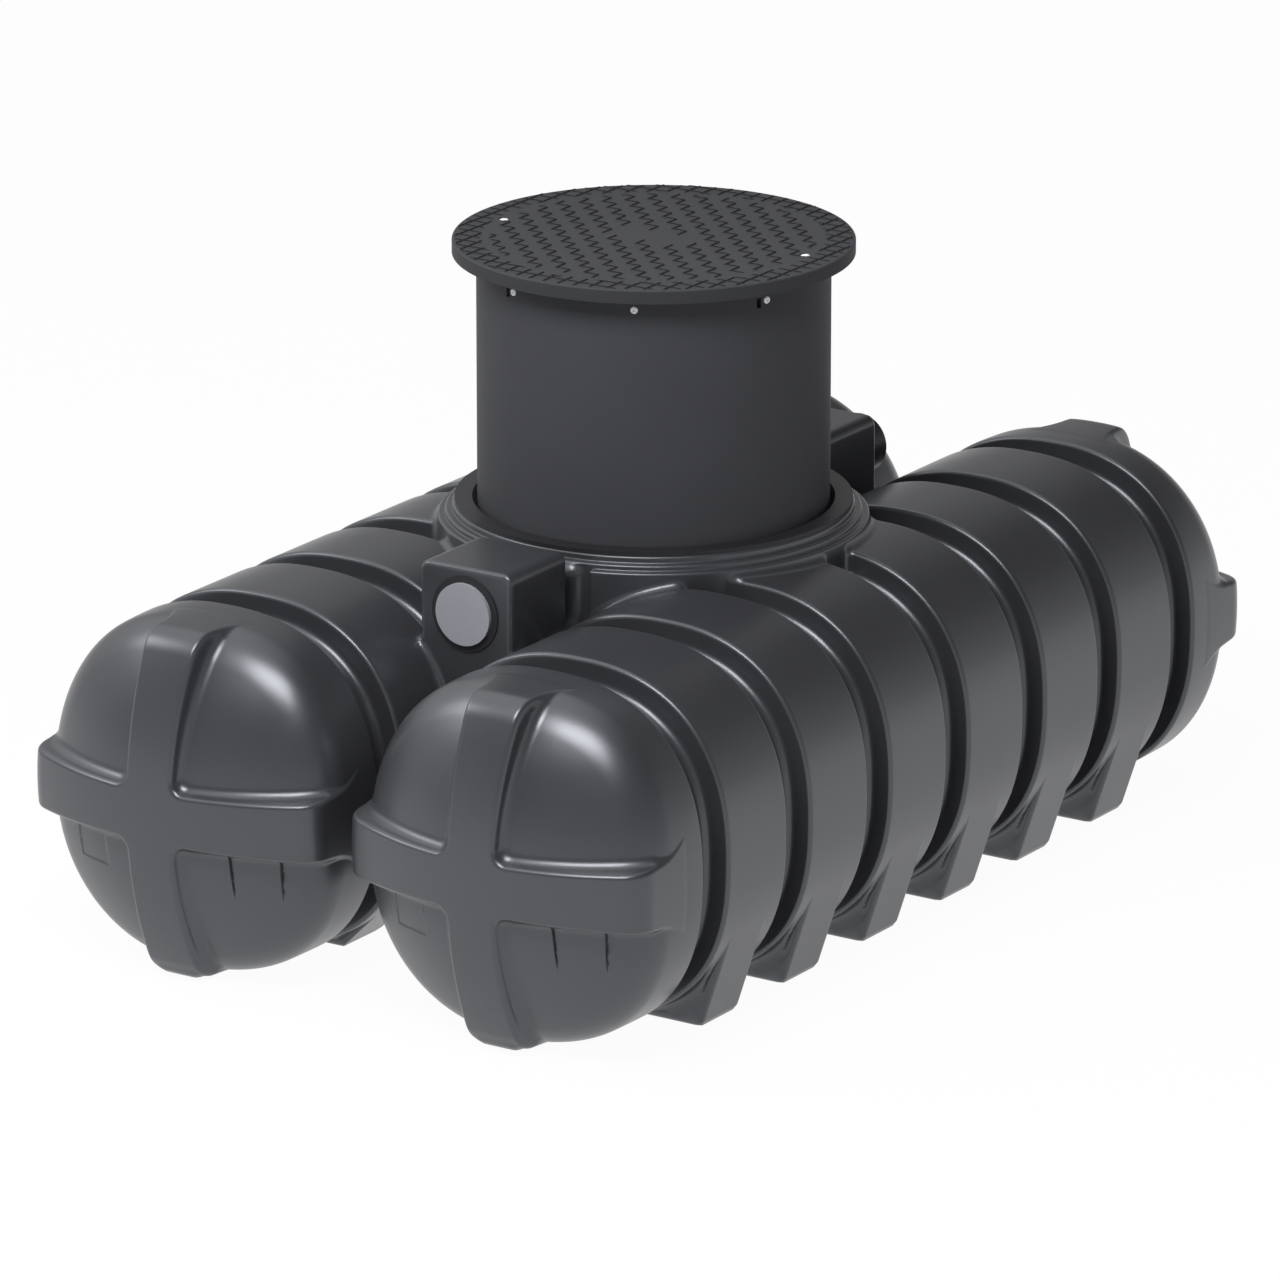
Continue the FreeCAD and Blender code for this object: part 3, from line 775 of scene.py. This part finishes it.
def march(start, aims, beyond):
    """Where rays from inside the body leave it, its normals there, and which rays stay buried in it."""
    rays = aims - start
    reach = np.linalg.norm(rays, axis=-1)
    rays = rays / reach[..., None]
    reach = reach + beyond
    far = np.zeros(rays.shape[:-1])
    for _ in range(MARCH_ROUNDS):
        inside = np.maximum(-tank_distance(start + rays * far[..., None]), 0)
        far = np.minimum(far + MARCH_SHARE * inside, reach)
    points, buried = start + rays * far[..., None], far > reach - 0.01
    shallow = ~buried | (tank_distance(points) > -SETTLE_DEPTH)
    points[shallow] = settle(points[shallow], RAY_SETTLES)
    return points, np.where(shallow[..., None], slopes(points, tank_distance), rays), buried


def kept(points, normals, faces, wanted):
    """Mesh of the wanted faces only, without points that nothing uses."""
    used, faces = np.unique(faces[wanted], return_inverse=True)
    return points.reshape(-1, 3)[used], normals.reshape(-1, 3)[used], faces.reshape(-1, 4)


def band_rows():
    """Stations along a barrel and their depths below the bands, closer beside the ends of the feet."""
    half = BAND_WIDTH / 2
    flat = np.concatenate([BAND_ROWS, FOOT_HALF + FOOT_ROWS])
    edge = half - BAND_EDGE * (1 - np.sin(ARC))
    fillet = half + GROOVE_EDGE * (1 - np.cos(ARC))
    away = np.concatenate([flat, edge, fillet, [half + GROOVE_EDGE + GROOVE_ROW, BAND_PITCH / 2]])
    edge = BAND_EDGE * (1 - np.cos(ARC))
    fillet = GROOVE_DEPTH - GROOVE_EDGE * (1 - np.sin(ARC))
    depth = np.concatenate([flat * 0, edge, fillet, [GROOVE_DEPTH, GROOVE_DEPTH]])
    offsets = np.concatenate([-away[:0:-1], away])
    depths = np.concatenate([depth[:0:-1], depth])
    centres = (np.arange(BAND_COUNT) - (BAND_COUNT - 1) / 2) * BAND_PITCH
    stations = [offsets[:-1] + centre for centre in centres]
    end = RIM_Y - GROOVE_EDGE + END_LAP
    groove = [GROOVE_DEPTH]
    return (np.concatenate([[-end]] + stations + [[BAND_COUNT / 2 * BAND_PITCH, end]]),
            np.concatenate([groove, np.tile(depths[:-1], BAND_COUNT), groove, groove]))


def oval_columns():
    """Turns round a barrel's oval, closer together beside the neck and the feet."""
    turn = np.linspace(0, 2 * math.pi, OUTLINE_COUNT)
    outline = oval_outline(turn)[0]
    gaps = np.linalg.norm(np.diff(outline, axis=0), axis=1)
    u, w = outline[1:].T
    beside_neck = (w > NECK_SIDE) & (u < NECK_SIDE)
    beside_feet = (w < -FOOT_BELOW) & (np.abs(u) > FOOT_ASIDE)
    steps = np.where(beside_neck, NECK_SIDE_STEP, np.where(beside_feet, FOOT_SIDE_STEP, BARREL_STEP))
    count = np.concatenate([[0], np.cumsum(gaps / steps)])
    whole = int(count[-1])
    return np.interp(np.arange(whole) * count[-1] / whole, count, turn)


def add_barrels():
    """Both barrels with their feet: stations along them, moved onto the skin of the body."""
    stations, depths = band_rows()
    outline, lean = oval_outline(oval_columns())
    section = outline[None] - lean[None] * depths[:, None, None]
    points = np.stack([AXIS_X + section[..., 0], np.broadcast_to(stations[:, None], section.shape[:2]),
                       AXIS_Z + section[..., 1]], -1)
    axis = points * (0, 1, 0) + (AXIS_X, 0, AXIS_Z)
    footed = (from_band(points[..., 1]) < FOOT_HALF + FOOT_REACH) & (points[..., 2] < AXIS_Z)
    points[footed] = march(axis[footed], points[footed], RAY_REACH)[0]
    out = slopes(points, lambda p: barrel_distance(p[..., 0] - AXIS_X, p[..., 2] - AXIS_Z, p[..., 1]))
    buried = np.zeros(points.shape[:2], bool)
    near = ~footed & (middle_distance(points) < NECK_FILLET + SKIN_REACH)
    start = points[near] - SKIN_START * out[near]
    points[near], out[near], buried[near] = march(start, points[near], SKIN_REACH)
    plain = ~footed & ~near
    points[plain] = settle(points[plain], PLAIN_SETTLES)
    points[..., 2] = np.maximum(points[..., 2], 0)
    normals = np.where(near[..., None], out, slopes(points, tank_distance))
    faces = grid_faces(*points.shape[:2], closed=True)
    points, normals, faces = kept(points, normals, faces, ~buried.reshape(-1)[faces].all(axis=1))
    across = np.array([-1, 1, 1])
    right = add_mesh("right_barrel_skin", points, faces, normals)
    left = add_mesh("left_barrel_skin", points * across, faces[:, ::-1], normals * across)
    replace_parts(right, "right_barrel", "right_outer_feet", "right_inner_feet")
    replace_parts(left, "left_barrel", "left_outer_feet", "left_inner_feet")


def neck_profile():
    """Section of the neck's outside, radius and height, from the wall below the shoulder up to the rim."""
    wall, shoulder = NECK_STEPS[0]
    section = [(wall, z) for z in np.arange(NECK_LOW, shoulder - NECK_EDGE - 2, NECK_ROW)]
    inner = [radius for radius, _ in NECK_STEPS[1:]]
    for i, (radius, top) in enumerate(NECK_STEPS):
        for turn in ARC:
            out = radius - NECK_EDGE * (1 - math.cos(turn))
            section.append((out, top - NECK_EDGE * (1 - math.sin(turn))))
        for turn in ARC[::2] if i < len(inner) else ():
            out = inner[i] + NECK_CORNER * (1 - math.sin(turn))
            section.append((out, top + NECK_CORNER * (1 - math.cos(turn))))
    return np.array(section + [(NECK_STEPS[-1][0] - RIM_WALL, NECK_STEPS[-1][1])])


def round_about(section, turn):
    """Points of a section turned round the shaft's axis."""
    return np.stack([section[:, :1] * np.cos(turn), section[:, :1] * np.sin(turn),
                     np.broadcast_to(section[:, 1:], (len(section), turn.size))], -1)


def neck_columns():
    """Turns round the neck, closer together beside the ends of the shoulders."""
    end = math.degrees(math.asin(SHOULDER_GAP / NECK_STEPS[0][0]))
    fine = [centre + side * (end + d) for centre in (90, 270) for side in (-1, 1) for d in SHOULDER_TURNS]
    coarse = [turn for turn in np.arange(0, 360, NECK_TURN) if min(abs(turn - f) for f in fine) > TURN_GAP]
    return np.radians(np.array(sorted(fine + coarse)))


def add_neck():
    """Neck with its collar and rim outside, and its bore inside where it isn't open to the barrels."""
    turn = neck_columns()
    profile = neck_profile()
    aims = round_about(profile, turn)
    radius, top = NECK_CORE
    core = np.column_stack([np.full(len(profile), radius), np.minimum(profile[:, 1], top)])
    points, normals, buried = march(round_about(core, turn), aims, WALL_REACH)
    points[-1] = aims[-1]
    normals[-1] = (0, 0, 1)
    faces = grid_faces(*points.shape[:2], closed=True)[:, ::-1]
    outside = kept(points, normals, faces, ~buried.reshape(-1)[faces].all(axis=1))
    bore = np.array([profile[-1], *NECK_BORE] + [(NECK_BORE[-1][0], z) for z in BORE_ROWS])
    inner = round_about(bore, turn)
    x, y, z = np.abs(inner[..., 0]), inner[..., 1], inner[..., 2]
    barrel = barrel_distance(x - AXIS_X, z - AXIS_Z, y)
    drop = (barrel < -RIM_WALL) | (x < BRIDGE_HALF) & (z < BRIDGE_TOP - BOX_EDGE)
    faces = grid_faces(len(bore), turn.size, closed=True)[:, ::-1]
    hollow = np.broadcast_to(np.stack([-np.cos(turn), -np.sin(turn), 0 * turn], -1), inner.shape)
    inside = kept(inner, hollow, faces, ~drop.reshape(-1)[faces].any(axis=1))
    points, normals = (np.concatenate([outside[i], inside[i]]) for i in (0, 1))
    faces = np.concatenate([outside[2], inside[2] + len(outside[0])])
    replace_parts(add_mesh("neck_skin", points, faces, normals), "neck_collar")


def edge_lines(low, high, both=True):
    """Coordinates between two edges, closer together beside the upper one or beside both."""
    first = low + BOX_ROWS if both else np.array([low])
    last = high - BOX_ROWS[::-1]
    count = int((last[0] - first[-1]) / BOX_STEP)
    return np.concatenate([first, np.linspace(first[-1], last[0], count + 1)[1:-1], last])


def box_patches(half, front, back, top, ends):
    """Points that rays aim at and points inside that they start from: a box's top, sides and ends."""
    x = edge_lines(-half, half)
    y = edge_lines(front, back)
    z = edge_lines(WEB_TOP + 1, top, both=False)

    def patch(a, b, order, level):
        first, second = np.meshgrid(a, b, indexing="ij")
        columns = {order[0]: first, order[1]: second}
        aims = np.stack([columns.get(axis, np.full_like(first, level)) for axis in "xyz"], -1)
        inset = CORE if ends else 0
        return aims, np.clip(aims, (CORE - half, front + inset, 0), (half - CORE, back - inset, top - CORE))

    patches = [patch(x, y, "xy", top), patch(y, z, "yz", half), patch(z, y, "zy", -half)]
    return patches + [patch(x, z, "xz", front), patch(z, x, "zx", back)] if ends else patches


def box_grid(pipe_height):
    """Points, normals and faces of the front box and its bridge, with a round hole for the pipe."""
    parts = []
    offset = 0
    box = box_patches(BOX_HALF, BOX_FRONT, BOX_BACK, BOX_TOP, True)
    for aims, core in box + box_patches(BRIDGE_HALF, BOX_BACK - CORE, BRIDGE_END, BRIDGE_TOP, False):
        points, normals, buried = march(core, aims, WALL_REACH)
        reach = np.hypot(points[..., 0], points[..., 2] - pipe_height)
        front = points[..., 1] < BOX_FRONT + 1
        snap = front & (reach < PIPE_HOLE) & (reach > PIPE_HOLE - HOLE_SNAP)
        scale = np.where(snap, PIPE_HOLE / np.maximum(reach, 1), 1.0)
        points[..., 0] *= scale
        points[..., 2] = pipe_height + (points[..., 2] - pipe_height) * scale
        hole = front & (reach < PIPE_HOLE - HOLE_SNAP)
        faces = grid_faces(*points.shape[:2])
        wanted = ~buried.reshape(-1)[faces].all(axis=1) & ~hole.reshape(-1)[faces].any(axis=1)
        flat = kept(points, normals, faces, wanted)
        parts.append((flat[0], flat[1], flat[2] + offset))
        offset += len(flat[0])
    points, normals, faces = (np.concatenate(group) for group in zip(*parts))
    first, index = np.unique(points.round(3), axis=0, return_index=True, return_inverse=True)[1:]
    return points[first], normals[first], index.reshape(-1)[faces]


def add_boxes():
    """Both pipe boxes; the rear one is the front one turned round, with its own pipe height."""
    for name, pipe_height, turn in (("inlet_box", INLET_HEIGHT, 1), ("outlet_box", OUTLET_HEIGHT, -1)):
        points, normals, faces = box_grid(pipe_height)
        around = np.array([turn, turn, 1])
        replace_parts(add_mesh(name + "_skin", points * around, faces, normals * around), name)


# Cover in millimetres: skirted plate with a stepped tread, a ringed border, lift slots and screw wells
COVER_TOP = 1138.3
COVER_RADIUS = 350.0
COVER_EDGE = 3.0
COVER_RING = 263.0
COVER_SEAT = 1126.3
COVER_LOW = 1112.3
COVER_UNDER = ((350.0, COVER_LOW), (342.0, COVER_LOW), (342.0, COVER_SEAT), (268.0, COVER_SEAT),
               (268.0, COVER_LOW), (COVER_RING, COVER_LOW), (COVER_RING, COVER_SEAT), (0.0, COVER_SEAT))
TREAD_RADIUS = 346.0
TREAD_STEP = 29.0
FILL_STEP = TREAD_STEP / 4
TREAD_HALF = 1.0
TREAD_SLOPE = 0.6
TREAD_HEIGHT = 1.8
TREAD_FIELD = 284.0
LINE_GAP = 0.6
TOUCH = 0.01
BORDER = (300.0, 345.0)
PLATE_HALF = (85.0, 30.0)
LIFT_RADIUS = 303.0
LIFT_HALF = (10.0, 4.5)
LIFT_DEPTH = 9.0
LIFT_SLOPE = 0.8
LOCK_RADIUS = 286.0
LOCK_TURN = math.radians(9.0)
LOCK_WELL = 10.0
LOCK_DEPTH = 6.0
LOCK_BORDER = 6.0
LOCK_LINES = (-10.2, -9.8, -8.0, -5.5, -2, 2, 5.5, 8.0, 9.8, 10.2)
RIB_COUNT = 8
RIB_HALF = 2.5
RIB_DEPTH = 14.0
RIB_LAP = 0.5
COVER_SHARP = math.radians(28)


def lock_places():
    """Where the cover's two lock screws are."""
    for sign in (1, -1):
        yield sign * LOCK_RADIUS * math.cos(LOCK_TURN), sign * LOCK_RADIUS * math.sin(LOCK_TURN)


def tread_lines(extra):
    """Grid lines over the cover along one axis: beside every tread line, and what slots and screws need."""
    count = int(COVER_RADIUS / TREAD_STEP) + 1
    near = [-TREAD_HALF - TREAD_SLOPE, -TREAD_HALF, TREAD_HALF, TREAD_HALF + TREAD_SLOPE]
    lines = {round(k * TREAD_STEP + d, 3) for k in range(-count, count + 1) for d in near}
    for line in sorted(extra) + list(np.arange(-COVER_RADIUS, COVER_RADIUS + 1, FILL_STEP)):
        if min(abs(line - other) for other in lines) > LINE_GAP:
            lines.add(round(float(line), 3))
    return np.array(sorted(lines))


def tread_depth(x, y):
    """Depth below the tread's top: stepped ribs, crossed ribs in the border, slots and screw wells."""
    reach = np.hypot(x, y)
    m, n = np.round(x / TREAD_STEP), np.round(y / TREAD_STEP)
    on_x = np.abs(x - m * TREAD_STEP) < TREAD_HALF + TOUCH
    on_y = np.abs(y - n * TREAD_STEP) < TREAD_HALF + TOUCH

    def step_run(along, level):
        """True beside a stretch of a stepped line, which covers every other cell along it."""
        cells = [np.floor((along + shift) / TREAD_STEP) for shift in (-TREAD_HALF, TREAD_HALF)]
        return np.logical_or(*[(cell + level) % 2 == 0 for cell in cells])

    field = (reach < TREAD_FIELD) & ((np.abs(x) > PLATE_HALF[0]) | (np.abs(y) > PLATE_HALF[1]))
    border = (reach > BORDER[0]) & (reach < BORDER[1])
    lines = field & (on_y & step_run(x, n) | on_x & step_run(y, m)) | border & (on_x | on_y)
    depth = np.where(lines, 0.0, TREAD_HEIGHT)
    for px, py in lock_places():
        away = np.hypot(x - px, y - py)
        depth = np.where(away < LOCK_WELL + LOCK_BORDER, TREAD_HEIGHT, depth)
        depth = np.where(away < LOCK_WELL, LOCK_DEPTH, depth)
    half_x, half_y = LIFT_HALF
    slot = (np.abs(x) < half_x + TOUCH) & (np.abs(np.abs(y) - LIFT_RADIUS) < half_y + TOUCH)
    return np.where(slot, LIFT_DEPTH, depth)


def add_cover():
    """Cover with its tread, skirt and the ribs under it."""
    half_x, half_y = LIFT_HALF
    slots = [s * v for s in (-1, 1) for v in (half_x, half_x + LIFT_SLOPE)]
    x = tread_lines(slots + [px + d for px, _ in lock_places() for d in LOCK_LINES])
    beside = (-half_y - LIFT_SLOPE, -half_y, half_y, half_y + LIFT_SLOPE)
    slots = [s * (LIFT_RADIUS + d) for s in (-1, 1) for d in beside]
    y = tread_lines(slots + [py + d for _, py in lock_places() for d in LOCK_LINES])
    gx, gy = np.meshgrid(x, y, indexing="ij")
    reach = np.hypot(gx, gy)
    faces = grid_faces(x.size, y.size)
    faces = faces[(reach.reshape(-1)[faces] < TREAD_RADIUS).any(axis=1)]
    scale = np.where(reach > TREAD_RADIUS, TREAD_RADIUS / np.maximum(reach, 1), 1.0)
    depth = np.where(reach > TREAD_RADIUS, TREAD_HEIGHT, tread_depth(gx, gy))
    points = np.stack([gx * scale, gy * scale, COVER_TOP - depth], -1).reshape(-1, 3)
    used, faces = np.unique(faces, return_inverse=True)
    points, faces = points[used], faces.reshape(-1, 4)
    border = np.flatnonzero(reach.reshape(-1)[used] >= TREAD_RADIUS)
    border = border[np.argsort(np.arctan2(points[border, 1], points[border, 0]))]
    turn = np.arctan2(points[border, 1], points[border, 0])
    plate = COVER_TOP - TREAD_HEIGHT
    inset, drop = COVER_EDGE * (1 - np.sin(ARC)), COVER_EDGE * (1 - np.cos(ARC))
    edge = np.column_stack([COVER_RADIUS - inset, plate - drop])
    skirt = round_about(np.concatenate([edge, COVER_UNDER]), turn)
    wall = wall_faces(border, len(points), len(skirt))
    ribs, rib_faces = cover_ribs()
    faces = np.concatenate([faces, wall, rib_faces + len(points) + skirt.size // 3])
    points = np.concatenate([points, skirt.reshape(-1, 3), ribs])
    piece = add_mesh("cover_plate", points, faces, body="cover", slot="cover_plastic")
    piece.data.set_sharp_from_angle(angle=COVER_SHARP)
    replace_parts(piece, "cover")


def cover_ribs():
    """Ribs under the plate, out from the middle to the ring."""
    outline = ((0, -RIB_HALF), (COVER_RING, -RIB_HALF), (COVER_RING, RIB_HALF), (0, RIB_HALF))
    heights = (COVER_SEAT - RIB_DEPTH, COVER_SEAT + RIB_LAP)
    corners = np.array([(r, side, z) for z in heights for r, side in outline])
    box = np.array([(0, 3, 2, 1), (0, 1, 5, 4), (1, 2, 6, 5), (2, 3, 7, 6), (3, 0, 4, 7)])
    points, faces = [], []
    for i in range(RIB_COUNT):
        turn = 2 * math.pi * i / RIB_COUNT
        cosine, sine = math.cos(turn), math.sin(turn)
        points.append(corners @ np.array([(cosine, sine, 0), (-sine, cosine, 0), (0, 0, 1)]))
        faces.append(box + len(corners) * i)
    return np.concatenate(points), np.concatenate(faces)


# Screws in millimetres
SCREW_COLUMNS = 24
SHAFT_SCREW = 6.5
SHAFT_SCREW_RISE = 3.2
SHAFT_SCREW_LAP = 0.4
SHAFT_SCREW_HEIGHT = 1090.0
SHAFT_SCREW_COUNT = 8
SHAFT_SCREW_FIRST = math.radians(-108.0)
SHAFT_RADIUS = 308.0
LOCK_SCREW = 8.5
LOCK_SCREW_RISE = 4.0
LOBE = 0.16
LOBE_COUNT = 6
SCREW_SHARP = math.radians(40)

# Rows of a screw head: share of its radius, share of its height, and whether the row is lobed
HEAD_ROWS = ((1.0, 0.0, False), (1.0, 0.35, False), (0.93, 0.62, False),
             (0.78, 0.85, False), (0.6, 0.97, False), (0.42, 1.0, True),
             (0.38, 0.95, True), (0.36, 0.35, True), (0.02, 0.3, False))


def screw_head(radius, height):
    """Domed screw head with a six-lobed socket, along +Z from its seat: points and faces."""
    turn = np.arange(SCREW_COLUMNS) * 2 * math.pi / SCREW_COLUMNS
    lobes = 1 + LOBE * np.cos(LOBE_COUNT * turn)
    points = []
    for share, rise, lobed in HEAD_ROWS:
        reach = radius * share * (lobes if lobed else 1)
        level = np.full_like(turn, height * rise)
        points.append(np.stack([reach * np.cos(turn), reach * np.sin(turn), level], -1))
    return np.concatenate(points), grid_faces(len(HEAD_ROWS), SCREW_COLUMNS, closed=True)[:, ::-1]


def add_screws():
    """Screws round the top of the shaft, and the two that lock the cover."""
    upright = np.array([0, 0, 1])
    head, faces = screw_head(SHAFT_SCREW, SHAFT_SCREW_RISE)
    points, all_faces = [], []
    for i in range(SHAFT_SCREW_COUNT):
        turn = SHAFT_SCREW_FIRST + 2 * math.pi * i / SHAFT_SCREW_COUNT
        out = np.array([math.cos(turn), math.sin(turn), 0])
        aside = np.array([-math.sin(turn), math.cos(turn), 0])
        seat = (SHAFT_RADIUS - SHAFT_SCREW_LAP) * out + SHAFT_SCREW_HEIGHT * upright
        points.append(seat + head[:, :1] * aside + head[:, 1:2] * upright + head[:, 2:] * out)
        all_faces.append(faces + len(head) * i)
    piece = add_mesh("shaft_screws", np.concatenate(points), np.concatenate(all_faces), body="shaft",
                     slot="plug_plastic", skin="screw_white")
    piece.data.set_sharp_from_angle(angle=SCREW_SHARP)
    head, faces = screw_head(LOCK_SCREW, LOCK_SCREW_RISE)
    points = [head + np.array([px, py, COVER_TOP - LOCK_DEPTH]) for px, py in lock_places()]
    faces = np.concatenate([faces, faces + len(head)])
    piece = add_mesh("lock_screws", np.concatenate(points), faces, body="cover",
                     slot="plug_plastic", skin="screw_white")
    piece.data.set_sharp_from_angle(angle=SCREW_SHARP)


SCENE.view_settings.view_transform = "Standard"
add_camera()
add_world()
add_floor()
for softbox in SOFTBOXES:
    add_softbox(*softbox)
paint_nodes()
add_domes()
add_barrels()
add_neck()
add_boxes()
add_cover()
add_screws()
